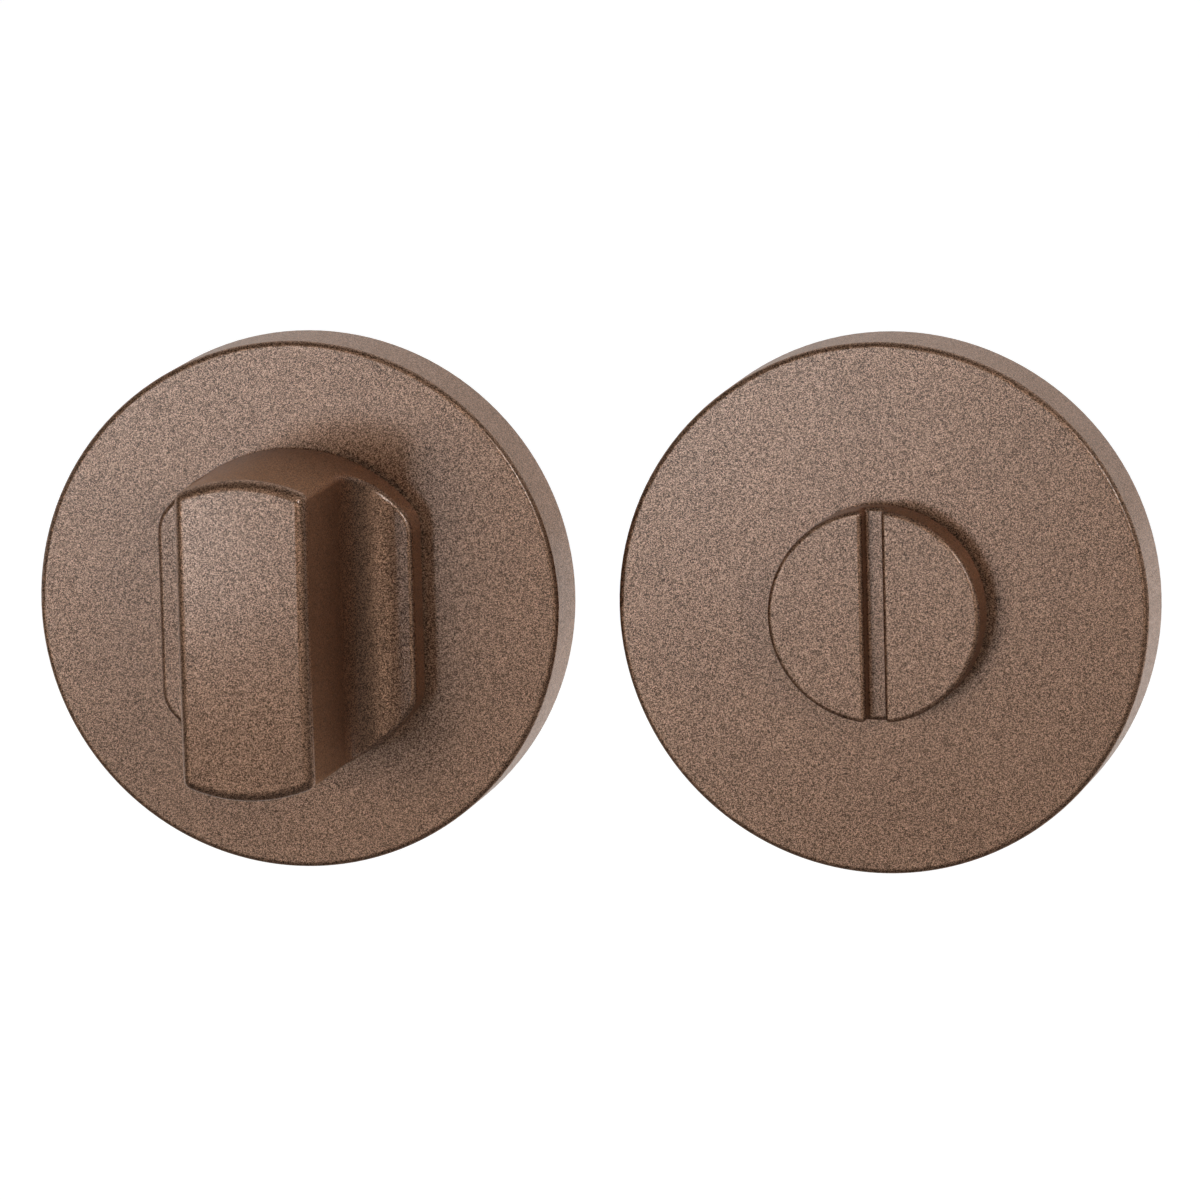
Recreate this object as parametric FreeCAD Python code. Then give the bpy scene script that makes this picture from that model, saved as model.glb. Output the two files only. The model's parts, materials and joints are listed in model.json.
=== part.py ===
import FreeCAD, Part
import math
import os

from FreeCAD import Vector

# Bathroom lock: a thumb-turn rose and a slotted release rose, in millimetres.
# The door faces are the plane Y = 0, and what shows on a door has negative Y.
# The origin is on the spindle axis of the thumb-turn half, and +Z is up.

# Rose cover
rose_diameter = 50.0
rose_depth = 8.0
rose_spacing = 5.8
rose_edge_radius = 0.5
cover_front = 1.2
cover_wall = 1.2
cover_inner_fillet = 0.4
cover_door_gap = 0.1
pry_notch_width = 6.0
pry_notch_depth = 0.8

# Thumb turn
knob_diameter = 30.0
knob_height = 22.0
knob_flat_width = 24.5
knob_corner_radius = 3.5
grip_width = 12.5
grip_root_fillet = 4.5
grip_edge_radius = 1.0
knob_crown_radius = 300.0
flange_thickness = 3.6
flange_edge_radius = 0.5
flange_gap = 0.9

# Release disc
disc_diameter = 20.0
disc_thickness = 3.8
disc_edge_radius = 0.45
slot_width = 1.8
slot_depth = 2.0
slot_root_fillet = 0.3

# Neck, shaft and square hole that both turned pieces share
neck_diameter = 17.0
neck_clearance = 0.3
shaft_diameter = 14.0
shaft_end_gap = 0.2
knob_socket_depth = 14.0
disc_socket_depth = 8.6
running_gap = 0.05

# Square spindle
spindle_size = 8.0
spindle_length = 60.0
spindle_clearance = 0.05
spindle_end_chamfer = 0.8
spindle_edge_radius = 0.3

# Bearing bush
bush_wall = 1.5
bush_flange_rim = 2.0
bush_flange_thickness = 1.0
bush_running_clearance = 0.04
bush_seat_clearance = 0.03

# Washers and shaft ring behind the bearing
bearing_length = 2.3
washer_outer_diameter = 20.0
washer_bore_clearance = 0.2
thrust_washer_thickness = 0.5
wave_space = 0.7
wave_washer_thickness = 0.3
wave_count = 3
circlip_thickness = 1.0
circlip_groove_depth = 0.3
circlip_side_clearance = 0.05
circlip_bottom_clearance = 0.05
circlip_width = 2.0
circlip_thinning = 0.5
circlip_land = 0.7
circlip_ear_radius = 1.5
circlip_ear_hole_radius = 0.8
circlip_ear_angle = 17.0

# Base plate
plate_clearance = 0.25
plate_corner_chamfer = 0.7
rim_wall = 2.2
web_thickness = 2.0
boss_wall = 2.2
recess_clearance = 2.0
cover_seat_gap = 0.05
rib_count = 8
rib_thickness = 1.2
rib_drop = 1.5

# Posts for the through bolts
post_edge_distance = 6.0
post_diameter = 8.0
post_reach = 6.0
post_end_chamfer = 0.6
bolt_hole_diameter = 4.3
bolt_seat_height = 4.0
bolt_seat_diameter = 7.4
sleeve_seat_height = 4.5
sleeve_diameter = 6.0
sleeve_bore_diameter = 3.3
sleeve_flange_diameter = 7.2
sleeve_flange_thickness = 0.8
sleeve_seat_clearance = 0.03
sleeve_end_gap = 0.3

# Wood screws
screw_edge_distance = 7.2
screw_diameter = 3.5
screw_head_diameter = 7.0
screw_length = 16.0
screw_point_length = 4.5
screw_hole_clearance = 0.2
screw_boss_diameter = 9.2
screw_boss_front = 3.4
screw_head_land = 0.3
recess_arm = 2.1
recess_arm_width = 0.8
recess_depth = 1.3

# Wire ring that the cover snaps over
snap_wire_diameter = 1.0
snap_reach = 0.25
snap_clearance = 0.15
snap_height = 2.7
snap_opening_angle = 40.0

# Radii and depths worked out from the sizes above
rose_radius = rose_diameter / 2
rose_pitch = rose_diameter + rose_spacing
post_pitch = rose_diameter - 2 * post_edge_distance
screw_pitch = rose_diameter - 2 * screw_edge_distance
cover_inner_radius = rose_radius - cover_wall
cover_inner_y = -(rose_depth - cover_front)
plate_radius = cover_inner_radius - plate_clearance
neck_radius = neck_diameter / 2
shaft_radius = shaft_diameter / 2
knob_radius = knob_diameter / 2
disc_radius = disc_diameter / 2

flange_back_y = -(rose_depth + flange_gap)
flange_front_y = flange_back_y - flange_thickness
knob_front_y = -(rose_depth + knob_height)
grip_root_y = flange_front_y - grip_root_fillet
disc_front_y = flange_back_y - disc_thickness
slot_floor_y = disc_front_y + slot_depth

shaft_end_y = -shaft_end_gap
circlip_back_y = shaft_end_y - circlip_land
circlip_front_y = circlip_back_y - circlip_thickness
wave_front_y = circlip_front_y - wave_space
bearing_back_y = wave_front_y - thrust_washer_thickness
bearing_front_y = bearing_back_y - bearing_length
bush_front_y = bearing_front_y - bush_flange_thickness
shoulder_y = bush_front_y - running_gap

groove_radius = shaft_radius - circlip_groove_depth
washer_outer_radius = washer_outer_diameter / 2
washer_bore_radius = shaft_radius + washer_bore_clearance
bush_bore_radius = shaft_radius + bush_running_clearance
bush_radius = bush_bore_radius + bush_wall
bearing_radius = bush_radius + bush_seat_clearance
recess_radius = washer_outer_radius + recess_clearance
boss_radius = recess_radius + boss_wall
rim_front_y = cover_inner_y + cover_seat_gap
rib_front_y = bearing_front_y + rib_drop

snap_outer_radius = cover_inner_radius + snap_reach
snap_wire_radius = snap_wire_diameter / 2
snap_ring_radius = snap_outer_radius - snap_wire_radius
snap_groove_half = snap_wire_radius + snap_clearance


def round_bar(radius, front_y, back_y, x=0.0, z=0.0):
    return Part.makeCylinder(radius, back_y - front_y, Vector(x, front_y, z), Vector(0, 1, 0))


def tube(outer_radius, inner_radius, front_y, back_y, x=0.0, z=0.0):
    outer = round_bar(outer_radius, front_y, back_y, x, z)
    return outer.cut(round_bar(inner_radius, front_y, back_y, x, z))


def cone(front_radius, back_radius, front_y, back_y, x=0.0, z=0.0):
    return Part.makeCone(front_radius, back_radius, back_y - front_y,
                         Vector(x, front_y, z), Vector(0, 1, 0))


def block(width, front_y, back_y, height, x=0.0, z=0.0):
    corner = Vector(x - width / 2, front_y, z - height / 2)
    return Part.makeBox(width, back_y - front_y, height, corner)


def circle_edges(solid, y, radius):
    found = []
    for edge in solid.Edges:
        curve = edge.Curve
        if isinstance(curve, Part.Circle) and abs(curve.Radius - radius) < 1e-6:
            if abs(curve.Center.y - y) < 1e-6:
                found.append(edge)
    return found


def face_normal(face, point):
    u, v = face.Surface.parameter(point)
    return face.normalAt(u, v)


def sharp_edges(solid, back_y):
    # Every edge in front of back_y where two faces meet at a real corner.
    found = []
    for edge in solid.Edges:
        if min(vertex.Y for vertex in edge.Vertexes) > back_y - 1e-6:
            continue
        middle = edge.valueAt((edge.FirstParameter + edge.LastParameter) / 2)
        faces = solid.ancestorsOfType(edge, Part.Face)
        if len(faces) == 2:
            turn = face_normal(faces[0], middle).dot(face_normal(faces[1], middle))
            if turn < 0.95:
                found.append(edge)
    return found


def rose_cover(x):
    # A drawn cup with a soft front edge, a bore for the neck and a snap groove inside.
    cup = round_bar(rose_radius, -rose_depth, -cover_door_gap, x)
    cup = cup.makeFillet(rose_edge_radius, circle_edges(cup, -rose_depth, rose_radius))
    hollow = round_bar(cover_inner_radius, cover_inner_y, 0, x)
    corner = circle_edges(hollow, cover_inner_y, cover_inner_radius)
    cup = cup.cut(hollow.makeFillet(cover_inner_fillet, corner))
    cup = cup.cut(round_bar(neck_radius + neck_clearance, -rose_depth, 0, x))
    groove = tube(snap_outer_radius + snap_clearance, cover_inner_radius - 1,
                  -snap_height - snap_groove_half, -snap_height + snap_groove_half, x)
    notch = block(pry_notch_width, -cover_door_gap - pry_notch_depth, 0,
                  2 * cover_wall, x, -rose_radius)
    return cup.cut(groove).cut(notch)


def base_plate(x, seat_height, seat_diameter, hole_diameter):
    # A moulding with a rim under the cover, a bearing boss, ribs, posts and screw bosses.
    rim = round_bar(plate_radius, rim_front_y, 0, x)
    rim = rim.makeChamfer(plate_corner_chamfer, circle_edges(rim, rim_front_y, plate_radius))
    plate = rim.cut(round_bar(plate_radius - rim_wall, rim_front_y, -web_thickness, x))
    plate = plate.fuse(round_bar(boss_radius, bearing_front_y, 0, x))
    rib_inner = (boss_radius + bearing_radius) / 2
    rib_length = plate_radius - rim_wall / 2 - rib_inner
    for number in range(rib_count):
        rib = block(rib_length, rib_front_y, -web_thickness / 2, rib_thickness,
                    x + rib_inner + rib_length / 2)
        rib.rotate(Vector(x, 0, 0), Vector(0, 1, 0), (number + 0.5) * 360 / rib_count)
        plate = plate.fuse(rib)
    for side in (-1, 1):
        post_x = x + side * post_pitch / 2
        post = round_bar(post_diameter / 2, -seat_height, post_reach, post_x)
        end = circle_edges(post, post_reach, post_diameter / 2)
        plate = plate.fuse(post.makeChamfer(post_end_chamfer, end))
        screw_z = side * screw_pitch / 2
        plate = plate.fuse(round_bar(screw_boss_diameter / 2, -screw_boss_front, 0, x, screw_z))
    plate = plate.cut(tube(2 * plate_radius, plate_radius, rim_front_y, 0, x))
    plate = plate.cut(round_bar(bearing_radius, bearing_front_y, 0, x))
    plate = plate.cut(round_bar(recess_radius, bearing_back_y, 0, x))
    groove = tube(2 * plate_radius, snap_ring_radius - snap_groove_half,
                  -snap_height - snap_groove_half, -snap_height + snap_groove_half, x)
    plate = plate.cut(groove)
    for side in (-1, 1):
        post_x = x + side * post_pitch / 2
        plate = plate.cut(round_bar(hole_diameter / 2, rim_front_y, post_reach, post_x))
        plate = plate.cut(round_bar(seat_diameter / 2, rim_front_y, -seat_height, post_x))
        plate = plate.cut(screw_space(x, side * screw_pitch / 2))
    return plate.removeSplitter()


def post_sleeves(x):
    # Flanged sleeves whose thread takes the ends of the through bolts.
    flange_y = -sleeve_seat_height - sleeve_flange_thickness
    sleeves = []
    for side in (-1, 1):
        sleeve_x = x + side * post_pitch / 2
        body = round_bar(sleeve_diameter / 2, flange_y, post_reach - sleeve_end_gap, sleeve_x)
        flange = round_bar(sleeve_flange_diameter / 2, flange_y, -sleeve_seat_height, sleeve_x)
        bore = round_bar(sleeve_bore_diameter / 2, flange_y, post_reach, sleeve_x)
        sleeves.append(body.fuse(flange).cut(bore).removeSplitter())
    return Part.makeCompound(sleeves)


def screw_form(x, z, extra):
    # Countersunk head, shank and point, grown by extra all round for the hole.
    head_y = -screw_boss_front
    head_radius = screw_head_diameter / 2 + extra
    shank_radius = screw_diameter / 2 + extra
    land_y = head_y + screw_head_land
    neck_y = land_y + head_radius - shank_radius
    end_y = head_y + screw_length
    form = round_bar(head_radius, head_y, land_y, x, z)
    form = form.fuse(cone(head_radius, shank_radius, land_y, neck_y, x, z))
    form = form.fuse(round_bar(shank_radius, neck_y, end_y - screw_point_length, x, z))
    point = cone(shank_radius, 0, end_y - screw_point_length, end_y, x, z)
    return form.fuse(point).removeSplitter()


def screw_space(x, z):
    return screw_form(x, z, screw_hole_clearance)


def fixing_screws(x):
    screws = []
    for side in (-1, 1):
        z = side * screw_pitch / 2
        head_y = -screw_boss_front
        screw = screw_form(x, z, 0)
        for width, height in ((2 * recess_arm, recess_arm_width), (recess_arm_width, 2 * recess_arm)):
            screw = screw.cut(block(width, head_y, head_y + recess_depth, height, x, z))
        screws.append(screw)
    return Part.makeCompound(screws)


def snap_ring(x):
    # Open ring of round wire, with its gap at the top.
    wire = Part.makeTorus(snap_ring_radius, snap_wire_radius, Vector(x, -snap_height, 0),
                          Vector(0, 1, 0))
    reach = 2 * rose_radius
    spread = reach * math.tan(math.radians(snap_opening_angle / 2))
    corners = [Vector(x, -rose_depth, 0), Vector(x + spread, -rose_depth, reach),
               Vector(x - spread, -rose_depth, reach), Vector(x, -rose_depth, 0)]
    gap = Part.Face(Part.makePolygon(corners)).extrude(Vector(0, rose_depth, 0))
    return wire.cut(gap)


def bearing_bush(x):
    sleeve = tube(bush_radius, bush_bore_radius, bearing_front_y, bearing_back_y, x)
    flange = tube(bush_radius + bush_flange_rim, bush_bore_radius, bush_front_y,
                  bearing_front_y, x)
    return sleeve.fuse(flange).removeSplitter()


def thrust_washer(x):
    return tube(washer_outer_radius, washer_bore_radius, bearing_back_y, wave_front_y, x)


def wave_edge(radius, middle_y, swing, x):
    steps = 12 * wave_count
    points = []
    for step in range(steps):
        angle = 2 * math.pi * step / steps
        y = middle_y + swing * math.cos(wave_count * angle)
        points.append(Vector(x + radius * math.cos(angle), y, radius * math.sin(angle)))
    curve = Part.BSplineCurve()
    curve.interpolate(Points=points, PeriodicFlag=True)
    return curve.toShape()


def wave_washer(x):
    # Spring steel ring bent into even waves between the thrust washer and the shaft ring.
    swing = (wave_space - wave_washer_thickness) / 2 - running_gap
    middle_y = (wave_front_y + circlip_front_y) / 2
    front_y = middle_y - wave_washer_thickness / 2
    back_y = middle_y + wave_washer_thickness / 2
    inner_front = wave_edge(washer_bore_radius, front_y, swing, x)
    outer_front = wave_edge(washer_outer_radius, front_y, swing, x)
    inner_back = wave_edge(washer_bore_radius, back_y, swing, x)
    outer_back = wave_edge(washer_outer_radius, back_y, swing, x)
    faces = [Part.makeRuledSurface(inner_front, outer_front),
             Part.makeRuledSurface(outer_front, outer_back),
             Part.makeRuledSurface(outer_back, inner_back),
             Part.makeRuledSurface(inner_back, inner_front)]
    shell = Part.makeShell(faces)
    shell.sewShape()
    solid = Part.makeSolid(shell)
    if solid.Volume < 0:
        solid.reverse()
    return solid


def circlip(x):
    # Outside ring, thinner beside its gap, with an eye at each end. The gap points up.
    inner_radius = groove_radius + circlip_bottom_clearance
    outer_radius = inner_radius + circlip_width - circlip_thinning
    body = round_bar(outer_radius, circlip_front_y, circlip_back_y, x, -circlip_thinning)
    ear_radius = inner_radius + circlip_ear_radius
    ear_angle = math.radians(circlip_ear_angle)
    eyes = []
    for side in (-1, 1):
        ear_x = x + side * ear_radius * math.sin(ear_angle)
        ear_z = ear_radius * math.cos(ear_angle)
        ear = round_bar(circlip_ear_radius, circlip_front_y, circlip_back_y, ear_x, ear_z)
        body = body.fuse(ear)
        eyes.append(round_bar(circlip_ear_hole_radius, circlip_front_y, circlip_back_y,
                              ear_x, ear_z))
    gap_width = 2 * (ear_radius * math.sin(ear_angle) - circlip_ear_radius)
    body = body.cut(round_bar(inner_radius, circlip_front_y, circlip_back_y, x))
    body = body.cut(block(max(gap_width, circlip_thickness), circlip_front_y, circlip_back_y,
                          2 * outer_radius, x, outer_radius))
    for eye in eyes:
        body = body.cut(eye)
    return body.removeSplitter()


def shaft_and_neck(x):
    # The part of a turned piece that runs in the rose, with its ring groove.
    neck = round_bar(neck_radius, flange_back_y, shoulder_y, x)
    shaft = round_bar(shaft_radius, shoulder_y, shaft_end_y, x)
    groove = tube(2 * shaft_radius, groove_radius, circlip_front_y - circlip_side_clearance,
                  circlip_back_y + circlip_side_clearance, x)
    return neck.fuse(shaft).cut(groove)


def square_hole(x, depth):
    side = spindle_size + 2 * spindle_clearance
    return block(side, shaft_end_y - depth, shaft_end_y, side, x)


def grip_section():
    # Section across the grip: a plate with an upright bar on hollow, rounded roots.
    half = grip_width / 2
    wide = knob_radius + 1
    foot_x = half + grip_root_fillet
    slant = grip_root_fillet * (1 - math.sqrt(0.5))
    left = [Vector(-wide, flange_back_y, 0), Vector(-wide, flange_front_y, 0),
            Vector(-foot_x, flange_front_y, 0)]
    left_curve = Part.Arc(left[2], Vector(-half - slant, flange_front_y - slant, 0),
                          Vector(-half, grip_root_y, 0))
    right_curve = Part.Arc(Vector(half, grip_root_y, 0),
                           Vector(half + slant, flange_front_y - slant, 0),
                           Vector(foot_x, flange_front_y, 0))
    edges = [Part.makeLine(left[0], left[1]), Part.makeLine(left[1], left[2]),
             left_curve.toShape(),
             Part.makeLine(Vector(-half, grip_root_y, 0), Vector(-half, knob_front_y, 0)),
             Part.makeLine(Vector(-half, knob_front_y, 0), Vector(half, knob_front_y, 0)),
             Part.makeLine(Vector(half, knob_front_y, 0), Vector(half, grip_root_y, 0)),
             right_curve.toShape(),
             Part.makeLine(Vector(foot_x, flange_front_y, 0), Vector(wide, flange_front_y, 0)),
             Part.makeLine(Vector(wide, flange_front_y, 0), Vector(wide, flange_back_y, 0)),
             Part.makeLine(Vector(wide, flange_back_y, 0), left[0])]
    return Part.Face(Part.Wire(edges))


def knob_edge_radius(point):
    # Generous along the grip, fine round the flange, and graded over the hollow root.
    rise = (flange_front_y - point.y) / grip_root_fillet
    share = min(max(rise, 0), 1)
    return flange_edge_radius + share * (grip_edge_radius - flange_edge_radius)


def graded_fillet(solid, edges, radius_at):
    # Each edge is rounded with the radius that holds at its start and the one at its end.
    document = FreeCAD.newDocument()
    base = document.addObject("Part::Feature", "base")
    base.Shape = solid
    fillet = document.addObject("Part::Fillet", "fillet")
    fillet.Base = base
    rows = []
    for number, edge in enumerate(solid.Edges, 1):
        if any(edge.isSame(chosen) for chosen in edges):
            start = edge.valueAt(edge.FirstParameter)
            end = edge.valueAt(edge.LastParameter)
            rows.append((number, radius_at(start), radius_at(end)))
    fillet.Edges = rows
    document.recompute()
    rounded = fillet.Shape.copy()
    FreeCAD.closeDocument(document.Name)
    return rounded


def thumb_turn():
    # One casting: the grip keeps the round outline of its flange at both ends.
    length = knob_diameter + 2
    section = grip_section()
    section.translate(Vector(0, 0, -length / 2))
    grip = section.extrude(Vector(0, 0, length))
    outline = round_bar(knob_radius, knob_front_y - 1, flange_back_y)
    outline = outline.common(block(knob_flat_width, knob_front_y - 1, flange_back_y, length))
    corners = [edge for edge in outline.Edges
               if abs(edge.Vertexes[0].Y - edge.Vertexes[-1].Y) > knob_height / 2
               and abs(abs(edge.Vertexes[0].X) - knob_flat_width / 2) < 1e-6]
    outline = outline.makeFillet(knob_corner_radius, corners)
    crown = Part.makeSphere(knob_crown_radius, Vector(0, knob_front_y + knob_crown_radius, 0))
    grip = grip.common(outline).common(crown)
    grip = graded_fillet(grip, sharp_edges(grip, flange_back_y), knob_edge_radius)
    turn = grip.fuse(shaft_and_neck(0))
    return turn.cut(square_hole(0, knob_socket_depth)).removeSplitter()


def release_disc(x):
    # Coin-slotted disc, so the lock can be opened from outside.
    disc = round_bar(disc_radius, disc_front_y, flange_back_y, x)
    slot = block(slot_width, disc_front_y - 1, slot_floor_y, disc_diameter + 2, x)
    roots = [edge for edge in slot.Edges
             if all(abs(vertex.Y - slot_floor_y) < 1e-6 for vertex in edge.Vertexes)
             and abs(edge.Vertexes[0].X - edge.Vertexes[1].X) < 1e-6]
    disc = disc.cut(slot.makeFillet(slot_root_fillet, roots))
    rims = [edge for edge in sharp_edges(disc, flange_back_y)
            if min(vertex.Y for vertex in edge.Vertexes) < slot_floor_y - slot_root_fillet - 1e-6]
    disc = disc.makeFillet(disc_edge_radius, rims)
    disc = disc.fuse(shaft_and_neck(x))
    return disc.cut(square_hole(x, disc_socket_depth)).removeSplitter()


def spindle():
    # Square bar from the bottom of the knob's hole, through the door, to the other half.
    front_y = shaft_end_y - knob_socket_depth + spindle_clearance
    back_y = front_y + spindle_length
    bar = block(spindle_size, front_y, back_y, spindle_size)
    ends = [edge for edge in bar.Edges
            if abs(edge.Vertexes[0].Y - edge.Vertexes[1].Y) < 1e-6]
    bar = bar.makeChamfer(spindle_end_chamfer, ends)
    corners = [edge for edge in bar.Edges
               if abs(edge.Vertexes[0].Y - edge.Vertexes[1].Y) > 2 * spindle_end_chamfer]
    return bar.makeFillet(spindle_edge_radius, corners)


def build():
    nodes = {"thumb_turn": thumb_turn(), "spindle": spindle(),
             "release_disc": release_disc(rose_pitch),
             "release_post_sleeves": post_sleeves(rose_pitch)}
    nodes["turn_base_plate"] = base_plate(0, bolt_seat_height, bolt_seat_diameter,
                                          bolt_hole_diameter)
    nodes["release_base_plate"] = base_plate(rose_pitch, sleeve_seat_height,
                                             sleeve_flange_diameter + 2 * sleeve_seat_clearance,
                                             sleeve_diameter + 2 * sleeve_seat_clearance)
    for half, x in (("turn", 0.0), ("release", rose_pitch)):
        nodes[half + "_rose_cover"] = rose_cover(x)
        nodes[half + "_snap_ring"] = snap_ring(x)
        nodes[half + "_bearing_bush"] = bearing_bush(x)
        nodes[half + "_thrust_washer"] = thrust_washer(x)
        nodes[half + "_wave_washer"] = wave_washer(x)
        nodes[half + "_circlip"] = circlip(x)
        nodes[half + "_fixing_screws"] = fixing_screws(x)
    return nodes


os.makedirs("parts", exist_ok=True)
for name, shape in build().items():
    shape.exportStep("parts/" + name + ".step")
    box = shape.BoundBox
    print(name, "solids", len(shape.Solids), "valid", shape.isValid(),
          "volume", round(shape.Volume, 1),
          "x", round(box.XMin, 2), round(box.XMax, 2),
          "y", round(box.YMin, 2), round(box.YMax, 2),
          "z", round(box.ZMin, 2), round(box.ZMax, 2))
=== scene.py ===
import json
import math

import bpy
from mathutils import Matrix, Vector

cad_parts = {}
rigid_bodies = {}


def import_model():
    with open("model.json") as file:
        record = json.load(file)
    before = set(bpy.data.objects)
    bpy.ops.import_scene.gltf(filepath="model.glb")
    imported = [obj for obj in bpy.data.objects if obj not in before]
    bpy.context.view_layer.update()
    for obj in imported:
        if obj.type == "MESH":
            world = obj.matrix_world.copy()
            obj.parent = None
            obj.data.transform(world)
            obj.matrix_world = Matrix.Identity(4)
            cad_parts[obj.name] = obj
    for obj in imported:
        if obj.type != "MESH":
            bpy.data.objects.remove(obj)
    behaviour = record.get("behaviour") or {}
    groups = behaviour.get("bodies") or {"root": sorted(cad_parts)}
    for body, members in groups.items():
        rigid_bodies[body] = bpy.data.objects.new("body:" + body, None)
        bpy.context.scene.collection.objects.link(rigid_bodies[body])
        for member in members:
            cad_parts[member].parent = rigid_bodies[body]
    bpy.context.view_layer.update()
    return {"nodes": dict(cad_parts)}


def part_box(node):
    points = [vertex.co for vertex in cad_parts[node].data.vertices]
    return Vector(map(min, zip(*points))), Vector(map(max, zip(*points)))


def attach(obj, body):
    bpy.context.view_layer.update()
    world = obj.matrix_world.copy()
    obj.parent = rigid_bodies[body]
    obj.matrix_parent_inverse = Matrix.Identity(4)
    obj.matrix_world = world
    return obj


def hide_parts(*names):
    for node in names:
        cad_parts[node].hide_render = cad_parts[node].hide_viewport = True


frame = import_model()
nodes = frame["nodes"]
print("frame:", len(nodes), "CAD nodes")

halves = ("turn", "release")


# Short ways to build node trees, used by every finish below

def addNode(tree, kind, **settings):
    made = tree.nodes.new(kind)
    for key, value in settings.items():
        setattr(made, key, value)
    return made


def join(tree, source, target):
    tree.links.new(source, target)


def feed(tree, made, **values):
    # Each named input takes a link from a socket, or a fixed value.
    for name, value in values.items():
        target = made.inputs[name.replace("_", " ")]
        if isinstance(value, bpy.types.NodeSocket):
            join(tree, value, target)
        else:
            target.default_value = value
    return made.outputs


def mathNode(tree, operation, first, second):
    made = addNode(tree, "ShaderNodeMath", operation=operation)
    for number, value in enumerate((first, second)):
        if isinstance(value, (int, float)):
            made.inputs[number].default_value = value
        else:
            join(tree, value, made.inputs[number])
    return made.outputs[0]


def vectorNode(tree, operation, *values):
    made = addNode(tree, "ShaderNodeVectorMath", operation=operation)
    for number, value in enumerate(values):
        if isinstance(value, tuple):
            made.inputs[number].default_value = value
        else:
            join(tree, value, made.inputs[number])
    return made.outputs


def rangeNode(tree, value, fromLow, fromHigh, toLow, toHigh):
    made = addNode(tree, "ShaderNodeMapRange")
    return feed(tree, made, Value=value, From_Min=fromLow, From_Max=fromHigh,
                To_Min=toLow, To_Max=toHigh)["Result"]


def colourMix(tree, factor, low, high):
    made = addNode(tree, "ShaderNodeMix", data_type="RGBA")
    join(tree, factor, made.inputs["Factor"])
    for socket, value in ((made.inputs["A"], low), (made.inputs["B"], high)):
        if isinstance(value, tuple):
            socket.default_value = (*value, 1)
        else:
            join(tree, value, socket)
    return made.outputs["Result"]


def objectPlace(tree):
    return addNode(tree, "ShaderNodeTexCoord").outputs["Object"]


def bumpInto(tree, height, socket, distance):
    bump = addNode(tree, "ShaderNodeBump")
    join(tree, feed(tree, bump, Height=height, Distance=distance)["Normal"], socket)


def newGroup(name, output, **inputs):
    # A node group that takes the named numbers or vectors and puts out one number.
    tree = bpy.data.node_groups.new(name, "ShaderNodeTree")
    for socketName, value in inputs.items():
        kind = "NodeSocketVector" if isinstance(value, tuple) else "NodeSocketFloat"
        socket = tree.interface.new_socket(socketName, in_out="INPUT", socket_type=kind)
        socket.default_value = value
    tree.interface.new_socket(output, in_out="OUTPUT", socket_type="NodeSocketFloat")
    given = addNode(tree, "NodeGroupInput").outputs
    return tree, given, addNode(tree, "NodeGroupOutput").inputs[output]


def placeGroup(tree, group, **values):
    made = addNode(tree, "ShaderNodeGroup", node_tree=group)
    return feed(tree, made, **values)[0]


def newFinish(name, **shaderValues):
    material = bpy.data.materials.new(name)
    material.use_nodes = True
    tree = material.node_tree
    shader = tree.nodes["Principled BSDF"]
    feed(tree, shader, **shaderValues)
    return material, tree, shader.inputs


# Effects that several finishes share

noiseSpan = {"low": 0.3, "high": 0.7}  # nearly all values of a noise texture lie in it
lineDetail = 3.0
patchLook = {"detail": 4.0, "roughness": 0.6}


def fullRange(tree, noise):
    return rangeNode(tree, noise, noiseSpan["low"], noiseSpan["high"], 0, 1)


def buildSurfaceGrain():
    # Even fine grain: a 0 to 1 mask that serves as colour factor and as bump height.
    tree, given, mask = newGroup("surfaceGrain", "Mask", Scale=1000.0, Detail=2.0)
    noise = feed(tree, addNode(tree, "ShaderNodeTexNoise"), Vector=objectPlace(tree),
                 Scale=given["Scale"], Detail=given["Detail"])
    join(tree, fullRange(tree, noise["Fac"]), mask)
    return tree


def buildTurnedLines():
    # Fine rings round the axis of one half, as a lathe leaves them on edges and on flat faces.
    tree, given, mask = newGroup("turnedLines", "Mask", Centre=(0, 0, 0), Pitch=0.0002)
    offset = vectorNode(tree, "SUBTRACT", objectPlace(tree), given["Centre"])["Vector"]
    flat = vectorNode(tree, "MULTIPLY", offset, (1, 0, 1))["Vector"]
    radius = vectorNode(tree, "LENGTH", flat)["Value"]
    depth = addNode(tree, "ShaderNodeSeparateXYZ")
    join(tree, offset, depth.inputs[0])
    along = mathNode(tree, "ADD", radius, depth.outputs["Y"])
    lines = feed(tree, addNode(tree, "ShaderNodeTexNoise", noise_dimensions="1D"),
                 W=mathNode(tree, "DIVIDE", along, given["Pitch"]), Scale=1.0, Detail=lineDetail)
    join(tree, fullRange(tree, lines["Fac"]), mask)
    return tree


def buildHandling():
    # Broad soft patches where a surface has been touched or stored.
    tree, given, value = newGroup("handling", "Value", Low=0.3, High=0.4, Scale=120.0)
    noise = feed(tree, addNode(tree, "ShaderNodeTexNoise"), Vector=objectPlace(tree),
                 Scale=given["Scale"], Detail=patchLook["detail"], Roughness=patchLook["roughness"])
    spread = mathNode(tree, "SUBTRACT", given["High"], given["Low"])
    patch = mathNode(tree, "MULTIPLY", fullRange(tree, noise["Fac"]), spread)
    join(tree, mathNode(tree, "ADD", patch, given["Low"]), value)
    return tree


surfaceGrain = buildSurfaceGrain()
turnedLines = buildTurnedLines()
handling = buildHandling()
print("effects: grain, turned lines, handling")


def roughByHandling(tree, sockets, look, patchesPerMetre):
    patches = placeGroup(tree, handling, Low=look["roughLow"], High=look["roughHigh"], Scale=patchesPerMetre)
    join(tree, patches, sockets["Roughness"])


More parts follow.
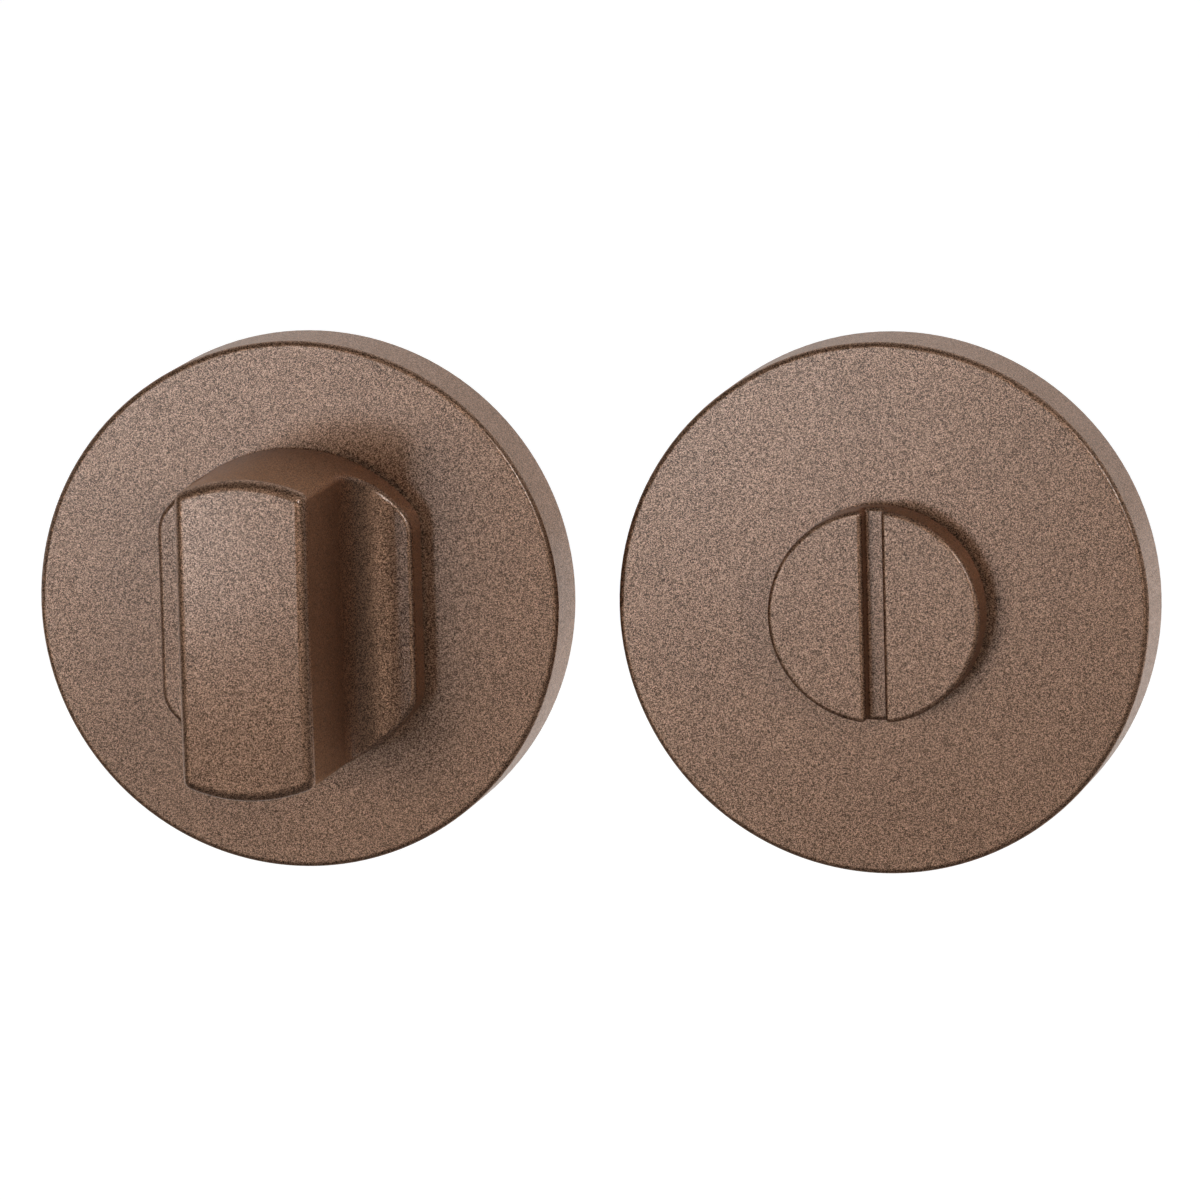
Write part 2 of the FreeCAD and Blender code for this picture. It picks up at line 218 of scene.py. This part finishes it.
# Bronze coat of the covers, the thumb turn and the release disc

bronzeCoat = {
    "dark": (0.065, 0.037, 0.023),
    "light": (0.700, 0.398, 0.245),
    "grazing": (0.95, 0.72, 0.56, 1.0),
    "roughLow": 0.48,
    "roughHigh": 0.54,
    "patchesPerMetre": 120.0,
    "flakesPerMetre": 13000.0,
    "flakeTilt": 0.24,
    "flakeBias": 1.6,  # above 1 most flakes are dark
    "coatIor": 1.75,
    "coatRoughness": 0.22,
    "coatLow": 0.18,
    "coatHigh": 1.0,
}


def makeBronzeCoat():
    # Metal flakes under a clear layer. Each flake has its own shade and leans its own way,
    # and the clear layer is weaker over the dark ones.
    material, tree, sockets = newFinish("bronzeCoat", Metallic=1.0, Specular_Tint=bronzeCoat["grazing"],
                                        Coat_IOR=bronzeCoat["coatIor"],
                                        Coat_Roughness=bronzeCoat["coatRoughness"])
    flakes = feed(tree, addNode(tree, "ShaderNodeTexVoronoi"), Vector=objectPlace(tree),
                  Scale=bronzeCoat["flakesPerMetre"])
    lean = vectorNode(tree, "SUBTRACT", flakes["Color"], (0.5, 0.5, 0.5))["Vector"]
    normal = addNode(tree, "ShaderNodeNewGeometry").outputs["Normal"]
    leaned = vectorNode(tree, "MULTIPLY_ADD", lean, (bronzeCoat["flakeTilt"],) * 3, normal)["Vector"]
    join(tree, vectorNode(tree, "NORMALIZE", leaned)["Vector"], sockets["Normal"])
    shade = addNode(tree, "ShaderNodeSeparateColor")
    join(tree, flakes["Color"], shade.inputs[0])
    bright = mathNode(tree, "POWER", shade.outputs[0], bronzeCoat["flakeBias"])
    join(tree, colourMix(tree, bright, bronzeCoat["dark"], bronzeCoat["light"]), sockets["Base Color"])
    clear = rangeNode(tree, bright, 0, 1, bronzeCoat["coatLow"], bronzeCoat["coatHigh"])
    join(tree, clear, sockets["Coat Weight"])
    roughByHandling(tree, sockets, bronzeCoat, bronzeCoat["patchesPerMetre"])
    return material


# Black glass-filled nylon of the base plates

nylonPlate = {
    "dark": (0.018, 0.018, 0.019),
    "light": (0.042, 0.042, 0.044),
    "roughLow": 0.45,
    "roughHigh": 0.62,
    "patchesPerMetre": 300.0,
    "fibresPerMetre": 2600.0,
    "fibreDetail": 4.0,
    "fibreDepth": 0.00002,
}


def makeNylon():
    material, tree, sockets = newFinish("glassFilledNylon")
    fibres = placeGroup(tree, surfaceGrain, Scale=nylonPlate["fibresPerMetre"],
                        Detail=nylonPlate["fibreDetail"])
    join(tree, colourMix(tree, fibres, nylonPlate["dark"], nylonPlate["light"]), sockets["Base Color"])
    roughByHandling(tree, sockets, nylonPlate, nylonPlate["patchesPerMetre"])
    bumpInto(tree, fibres, sockets["Normal"], nylonPlate["fibreDepth"])
    return material


# White acetal of the bearing bushes

acetalBush = {
    "dark": (0.76, 0.75, 0.71),
    "light": (0.84, 0.83, 0.79),
    "roughness": 0.34,
    "lightInside": 0.1,  # share of the light that scatters below the surface
    "scatterDepth": 0.001,
    "linePitch": 0.00025,
    "lineDepth": 0.000006,
}


def makeAcetal(name, centre):
    material, tree, sockets = newFinish(name, Roughness=acetalBush["roughness"],
                                        Subsurface_Weight=acetalBush["lightInside"],
                                        Subsurface_Scale=acetalBush["scatterDepth"])
    lines = placeGroup(tree, turnedLines, Centre=centre, Pitch=acetalBush["linePitch"])
    join(tree, colourMix(tree, lines, acetalBush["dark"], acetalBush["light"]), sockets["Base Color"])
    bumpInto(tree, lines, sockets["Normal"], acetalBush["lineDepth"])
    return material


# Dark phosphated steel of the snap rings, wave washers and circlips

springSteel = {
    "dark": (0.10, 0.10, 0.105),
    "light": (0.23, 0.23, 0.235),
    "metallic": 0.9,
    "roughLow": 0.38,
    "roughHigh": 0.55,
    "patchesPerMetre": 400.0,
    "crystalsPerMetre": 4200.0,
    "crystalDetail": 3.0,
    "crystalDepth": 0.000008,
}


def makeSpringSteel():
    material, tree, sockets = newFinish("phosphatedSteel", Metallic=springSteel["metallic"])
    crystals = placeGroup(tree, surfaceGrain, Scale=springSteel["crystalsPerMetre"],
                          Detail=springSteel["crystalDetail"])
    join(tree, colourMix(tree, crystals, springSteel["dark"], springSteel["light"]), sockets["Base Color"])
    roughByHandling(tree, sockets, springSteel, springSteel["patchesPerMetre"])
    bumpInto(tree, crystals, sockets["Normal"], springSteel["crystalDepth"])
    return material


# Zinc plate of the thrust washers and screws, and brass of the post sleeves

zincPlate = {
    "dark": (0.56, 0.57, 0.59),
    "light": (0.70, 0.71, 0.72),
    "roughLow": 0.24,
    "roughHigh": 0.36,
    "patchesPerMetre": 350.0,
    "linePitch": 0.00018,
    "lineDepth": 0.000005,
}
turnedBrass = {
    "dark": (0.66, 0.46, 0.19),
    "light": (0.80, 0.60, 0.30),
    "roughLow": 0.20,
    "roughHigh": 0.30,
    "patchesPerMetre": 350.0,
    "linePitch": 0.00022,
    "lineDepth": 0.000006,
}


def makeTurnedMetal(name, look, centre):
    # Bare metal with the rings that turning leaves.
    material, tree, sockets = newFinish(name, Metallic=1.0)
    lines = placeGroup(tree, turnedLines, Centre=centre, Pitch=look["linePitch"])
    join(tree, colourMix(tree, lines, look["dark"], look["light"]), sockets["Base Color"])
    roughByHandling(tree, sockets, look, look["patchesPerMetre"])
    bumpInto(tree, lines, sockets["Normal"], look["lineDepth"])
    return material


# The spindle: the same zinc plate on square bar, with drawing marks that run along the bar

drawnBar = {
    "marksAcross": 6000.0,  # per metre
    "marksAlong": 60.0,
    "markDepth": 0.00001,
    "patchesPerMetre": 200.0,
}


def makeDrawnZinc():
    material, tree, sockets = newFinish("zincOnDrawnBar", Metallic=1.0)
    stretch = feed(tree, addNode(tree, "ShaderNodeMapping"), Vector=objectPlace(tree),
                   Scale=(drawnBar["marksAcross"], drawnBar["marksAlong"], drawnBar["marksAcross"]))
    marks = feed(tree, addNode(tree, "ShaderNodeTexNoise"), Vector=stretch["Vector"],
                 Scale=1.0, Detail=lineDetail)["Fac"]
    join(tree, colourMix(tree, marks, zincPlate["dark"], zincPlate["light"]), sockets["Base Color"])
    roughByHandling(tree, sockets, zincPlate, drawnBar["patchesPerMetre"])
    bumpInto(tree, marks, sockets["Normal"], drawnBar["markDepth"])
    return material


def nodeCentre(name):
    low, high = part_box(name)
    return (low + high) / 2


coat = makeBronzeCoat()
nylon = makeNylon()
steel = makeSpringSteel()
brass = makeTurnedMetal("turnedBrass", turnedBrass, nodeCentre("release_bearing_bush"))
finishes = {"thumb_turn": coat, "release_disc": coat, "spindle": makeDrawnZinc(),
            "release_post_sleeves": brass}
for half in halves:
    centre = nodeCentre(half + "_bearing_bush")
    zinc = makeTurnedMetal(half + "ZincPlate", zincPlate, centre)
    finishes[half + "_rose_cover"] = coat
    finishes[half + "_base_plate"] = nylon
    finishes[half + "_bearing_bush"] = makeAcetal(half + "Acetal", centre)
    finishes[half + "_thrust_washer"] = zinc
    finishes[half + "_fixing_screws"] = zinc
    for ring in ("_snap_ring", "_wave_washer", "_circlip"):
        finishes[half + ring] = steel
for name, material in finishes.items():
    mesh = nodes[name].data
    mesh.materials.clear()
    mesh.materials.append(material)
print("finishes on", len(finishes), "of", len(nodes), "nodes")


# Meshes made ring by ring round an axis that runs along Y

sharpFrom = 32  # degrees between two faces


def ringMesh(name, rings, closed, material):
    mesh = bpy.data.meshes.new(name)
    count = len(rings[0])
    points = [point for ring in rings for point in ring]
    faces = []
    last = len(rings) if closed else len(rings) - 1
    for row in range(last):
        nextRow = (row + 1) % len(rings)
        for step in range(count):
            nextStep = (step + 1) % count
            faces.append((row * count + step, row * count + nextStep,
                          nextRow * count + nextStep, nextRow * count + step))
    if not closed:
        faces.append(tuple(range(count))[::-1])
        faces.append(tuple(len(points) - count + step for step in range(count)))
    mesh.from_pydata(points, [], faces)
    mesh.polygons.foreach_set("use_smooth", [True] * len(mesh.polygons))
    mesh.set_sharp_from_angle(angle=math.radians(sharpFrom))
    mesh.materials.append(material)
    made = bpy.data.objects.new(name, mesh)
    bpy.context.scene.collection.objects.link(made)
    return made


def threadRing(centre, y, radiusAt, steps):
    points = []
    for step in range(steps):
        angle = 2 * math.pi * step / steps
        radius = radiusAt(y, angle)
        points.append((centre.x + radius * math.cos(angle), y, centre.z + radius * math.sin(angle)))
    return points


def plainRings(centre, rows, steps):
    # Round rings, from pairs of a place along the axis and a radius.
    rings = []
    for y, radius in rows:
        rings.append(threadRing(centre, y, lambda *place: radius, steps))
    return rings


def threadRidge(y, angle, pitch, crestShare):
    # 1 on the crest of a helical thread and 0 in its root.
    turn = (y / pitch - angle / (2 * math.pi)) % 1
    return max(0.0, 1 - abs(turn - 0.5) / (crestShare / 2))


# Wood screws with a cut thread and a tapered cross recess, in place of the plain ones

woodScrew = {
    "outerRadius": 0.00175,
    "coreRadius": 0.00118,
    "pitch": 0.0016,
    "crestShare": 0.55,
    "headLand": 0.0003,
    "plainShank": 0.0012,
    "pointLength": 0.0045,
    "pointBluntness": 0.03,
    "recessArm": 0.0021,
    "recessWidth": 0.0008,
    "recessDepth": 0.0013,
    "recessTaper": 0.5,
    "rowsPerTurn": 12,
    "steps": 40,
}


def screwRings(centre, frontY, headRadius, backY):
    # The shank ends a quarter turn ahead of the thread, which rises over its first turn.
    s = woodScrew
    neckY = frontY + s["headLand"] + headRadius - s["outerRadius"]
    threadY = neckY + s["plainShank"]
    pointY = backY - s["pointLength"]

    def threadRadius(y, angle):
        taper = 1.0 if y < pointY else max(s["pointBluntness"], (backY - y) / s["pointLength"])
        rise = min(1.0, (y - threadY) / s["pitch"])
        ridge = threadRidge(y, angle, s["pitch"], s["crestShare"]) * rise
        return taper * (s["coreRadius"] + (s["outerRadius"] - s["coreRadius"]) * ridge)

    rings = plainRings(centre, ((frontY, headRadius), (frontY + s["headLand"], headRadius),
                                (neckY, s["outerRadius"]), (threadY - s["pitch"] / 4, s["outerRadius"])),
                       s["steps"])
    rowStep = s["pitch"] / s["rowsPerTurn"]
    for row in range(int((backY - threadY) / rowStep) + 1):
        rings.append(threadRing(centre, threadY + row * rowStep, threadRadius, s["steps"]))
    return rings


def crossCutter(centre, frontY):
    # A cross that narrows with depth, its arms half as fast in width as in length.
    s = woodScrew
    rings = []
    for y, scale in ((frontY - s["recessDepth"] / 4, 1.0), (frontY + s["recessDepth"], s["recessTaper"])):
        arm = s["recessArm"] * scale
        side = s["recessWidth"] / 2 * (1 + scale) / 2
        ring = []
        for quarter in range(4):
            spin = Matrix.Rotation(quarter * math.pi / 2, 4, "Y")
            for x, z in ((side, side), (arm, side), (arm, -side)):
                ring.append(tuple(centre + spin @ Vector((x, 0, z)) + Vector((0, y - centre.y, 0))))
        rings.append(ring)
    return rings


def makeScrews(half):
    name = half + "_fixing_screws"
    low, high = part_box(name)
    headRadius = (high.x - low.x) / 2
    for side, z in (("Lower", low.z + headRadius), ("Upper", high.z - headRadius)):
        centre = Vector(((low.x + high.x) / 2, low.y, z))
        screw = ringMesh(half + "Screw" + side, screwRings(centre, low.y, headRadius, high.y), False,
                         finishes[name])
        cutter = ringMesh(half + "Recess" + side, crossCutter(centre, low.y), False, finishes[name])
        cut = screw.modifiers.new("recess", "BOOLEAN")
        cut.operation = "DIFFERENCE"
        cut.solver = "EXACT"
        cut.object = cutter
        bpy.context.view_layer.update()
        whole = bpy.data.meshes.new_from_object(screw.evaluated_get(bpy.context.evaluated_depsgraph_get()))
        screw.modifiers.clear()
        screw.data = whole
        bpy.data.objects.remove(cutter)
        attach(screw, "roses")
        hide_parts(name)


for half in halves:
    makeScrews(half)
print("wood screws: 4, threaded")


# Brass sleeves with a cut thread inside, in place of the plain ones

postSleeve = {
    "outerRadius": 0.003,
    "coreRadius": 0.00165,
    "threadRadius": 0.0020,
    "pitch": 0.0007,
    "crestShare": 0.8,
    "flangeThickness": 0.0008,
    "mouthChamfer": 0.0004,
    "edge": 0.00012,
    "rowsPerTurn": 8,
    "steps": 40,
}


def makeSleeve(name, centre, frontY, backY, flangeRadius):
    s = postSleeve
    edge = s["edge"]
    flangeY = frontY + s["flangeThickness"]
    outside = ((frontY, flangeRadius - edge), (frontY + edge, flangeRadius), (flangeY - edge, flangeRadius),
               (flangeY, flangeRadius - edge), (flangeY, s["outerRadius"]), (backY - edge, s["outerRadius"]),
               (backY, s["outerRadius"] - edge), (backY, s["threadRadius"] + edge))
    rings = plainRings(centre, outside, s["steps"])

    def boreRadius(y, angle):
        groove = threadRidge(y, angle, s["pitch"], s["crestShare"])
        mouth = max(0.0, 1 - min(y - frontY, backY - y) / s["mouthChamfer"])
        return max(s["coreRadius"] + (s["threadRadius"] - s["coreRadius"]) * groove,
                   s["coreRadius"] + (s["threadRadius"] + edge - s["coreRadius"]) * mouth)

    rowStep = s["pitch"] / s["rowsPerTurn"]
    rowCount = int((backY - frontY) / rowStep)
    for row in range(rowCount + 1):
        y = backY - (backY - frontY) * row / rowCount
        rings.append(threadRing(centre, y, boreRadius, s["steps"]))
    sleeve = ringMesh(name, rings, True, brass)
    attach(sleeve, "roses")
    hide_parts("release_post_sleeves")


low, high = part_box("release_post_sleeves")
flangeRadius = (high.z - low.z) / 2
for side, x in (("Left", low.x + flangeRadius), ("Right", high.x - flangeRadius)):
    makeSleeve("postSleeve" + side, Vector((x, 0, 0)), low.y, high.y, flangeRadius)
print("post sleeves: 2, threaded")


# Floor, lamps, world and camera

floorLook = {
    "height": -0.12,
    "size": 6.0,
    "colour": (0.86, 0.86, 0.86),
    "inGloss": (0.08, 0.08, 0.08),
    "roughness": 0.9,
    "seen": 0.38,  # glow towards the camera
    "shineFront": 0.0,
    "shineBack": 0.81,
    "fade": 0.15,
}


def makeFloor():
    # Matt and pale to the camera. Gloss sees it dark below the object and bright behind it.
    bpy.ops.mesh.primitive_plane_add(size=floorLook["size"], location=(0, 0, floorLook["height"]))
    floor = bpy.context.object
    floor.name = "floor"
    material, tree, sockets = newFinish("floor", Roughness=floorLook["roughness"],
                                        Emission_Color=(1, 1, 1, 1))
    ray = addNode(tree, "ShaderNodeLightPath").outputs
    gloss = mathNode(tree, "MAXIMUM", ray["Is Glossy Ray"], ray["Is Transmission Ray"])
    join(tree, colourMix(tree, gloss, floorLook["colour"], floorLook["inGloss"]), sockets["Base Color"])
    place = addNode(tree, "ShaderNodeSeparateXYZ")
    join(tree, objectPlace(tree), place.inputs[0])
    pale = rangeNode(tree, place.outputs["Y"], 0, floorLook["fade"], floorLook["shineFront"],
                     floorLook["shineBack"])
    shine = mathNode(tree, "MULTIPLY", gloss, pale)
    seen = mathNode(tree, "MULTIPLY", ray["Is Camera Ray"], floorLook["seen"])
    join(tree, mathNode(tree, "ADD", seen, shine), sockets["Emission Strength"])
    floor.data.materials.append(material)


def directionTo(azimuth, elevation):
    # Away from the object: azimuth counts from the front to the right and elevation up, in radians.
    return Vector((math.sin(azimuth) * math.cos(elevation), -math.cos(azimuth) * math.cos(elevation),
                   math.sin(elevation)))


# Each half has lamps of its own. Azimuths count from the line along which its face mirrors the camera.
lamps = {
    "FrontSoftbox": {"azimuth": -4.5, "elevation": 0.0, "distance": 0.50, "size": 0.14, "power": 0.265},
    "SideSoftbox": {"azimuth": -12.0, "elevation": 2.0, "distance": 0.50, "size": 0.16, "power": 0.245},
    "EdgeSoftbox": {"azimuth": 45.6, "elevation": 15.0, "distance": 0.35, "size": 0.10, "power": 0.30},
}


def makeLamps(half, centre, lit):
    sight = bpy.context.scene.camera.location - centre
    mirrored = -math.atan2(sight.x, -sight.y)
    for name, look in lamps.items():
        away = directionTo(math.radians(look["azimuth"]) + mirrored, math.radians(look["elevation"]))
        light = bpy.data.lights.new(half + name, "AREA")
        light.shape = "SQUARE"
        light.size = look["size"]
        light.energy = look["power"]
        lamp = bpy.data.objects.new(half + name, light)
        lamp.location = centre + away * look["distance"]
        lamp.rotation_euler = (-away).to_track_quat("-Z", "Y").to_euler()
        lamp.light_linking.receiver_collection = lit
        bpy.context.scene.collection.objects.link(lamp)


def lightHalves():
    # The pieces on one side of the middle, and the floor, take the lamps of that half.
    centres = {half: nodeCentre(half + "_rose_cover") for half in halves}
    middle = sum(centre.x for centre in centres.values()) / len(centres)
    for half, centre in centres.items():
        lit = bpy.data.collections.new(half + "Lit")
        for thing in bpy.context.scene.objects:
            if thing.type != "MESH":
                continue
            across = [(thing.matrix_world @ Vector(corner)).x for corner in thing.bound_box]
            here = (min(across) + max(across)) / 2
            if thing.name == "floor" or (here < middle) == (centre.x < middle):
                lit.objects.link(thing)
        makeLamps(half, centre, lit)


studio = {
    "white": (1.0, 1.0, 1.0),
    "front": (0.05, 0.05, 0.05),
    "back": (0.64, 0.64, 0.64),
    "plain": (0.75, 0.75, 0.75),
    "fadeFrom": -0.3,
    "fadeTo": 0.5,
}


def makeWorld():
    # White to the camera and pale to matt surfaces. Gloss sees it pale behind the object, dark in front.
    world = bpy.data.worlds.new("studio")
    world.use_nodes = True
    tree = world.node_tree
    direction = addNode(tree, "ShaderNodeSeparateXYZ")
    join(tree, addNode(tree, "ShaderNodeTexCoord").outputs["Generated"], direction.inputs[0])
    behind = rangeNode(tree, direction.outputs["Y"], studio["fadeFrom"], studio["fadeTo"], 0, 1)
    glossy = colourMix(tree, behind, studio["front"], studio["back"])
    ray = addNode(tree, "ShaderNodeLightPath").outputs
    shine = mathNode(tree, "MAXIMUM", ray["Is Glossy Ray"], ray["Is Transmission Ray"])
    lit = colourMix(tree, shine, studio["plain"], glossy)
    shown = colourMix(tree, ray["Is Camera Ray"], lit, studio["white"])
    join(tree, shown, tree.nodes["Background"].inputs["Color"])
    bpy.context.scene.world = world


cameraView = {
    "azimuth": 12.08,
    "elevation": 8.97,
    "roll": -1.5,
    "distance": 1.0,
    "lens": 318.7,
    "farthest": 20.0,
    "target": (0.02733, 0.0, -0.00059),
}


def makeCamera():
    azimuth, elevation, roll = (math.radians(cameraView[key]) for key in ("azimuth", "elevation", "roll"))
    away = directionTo(azimuth, elevation)
    level = Vector((math.cos(azimuth), math.sin(azimuth), 0))
    up = level.cross(-away)
    right = math.cos(roll) * level + math.sin(roll) * up
    turnedUp = math.cos(roll) * up - math.sin(roll) * level
    camera = bpy.data.objects.new("camera", bpy.data.cameras.new("camera"))
    camera.data.lens = cameraView["lens"]
    camera.data.clip_end = cameraView["farthest"]
    place = Vector(cameraView["target"]) + away * cameraView["distance"]
    turned = Matrix((right, turnedUp, away)).transposed().to_4x4()
    camera.matrix_world = Matrix.Translation(place) @ turned
    bpy.context.scene.collection.objects.link(camera)
    bpy.context.scene.camera = camera


makeFloor()
makeWorld()
makeCamera()
bpy.context.view_layer.update()
lightHalves()
bpy.context.scene.view_settings.view_transform = "Standard"
print("studio: floor,", len(lamps), "lamps for each half, world and camera")
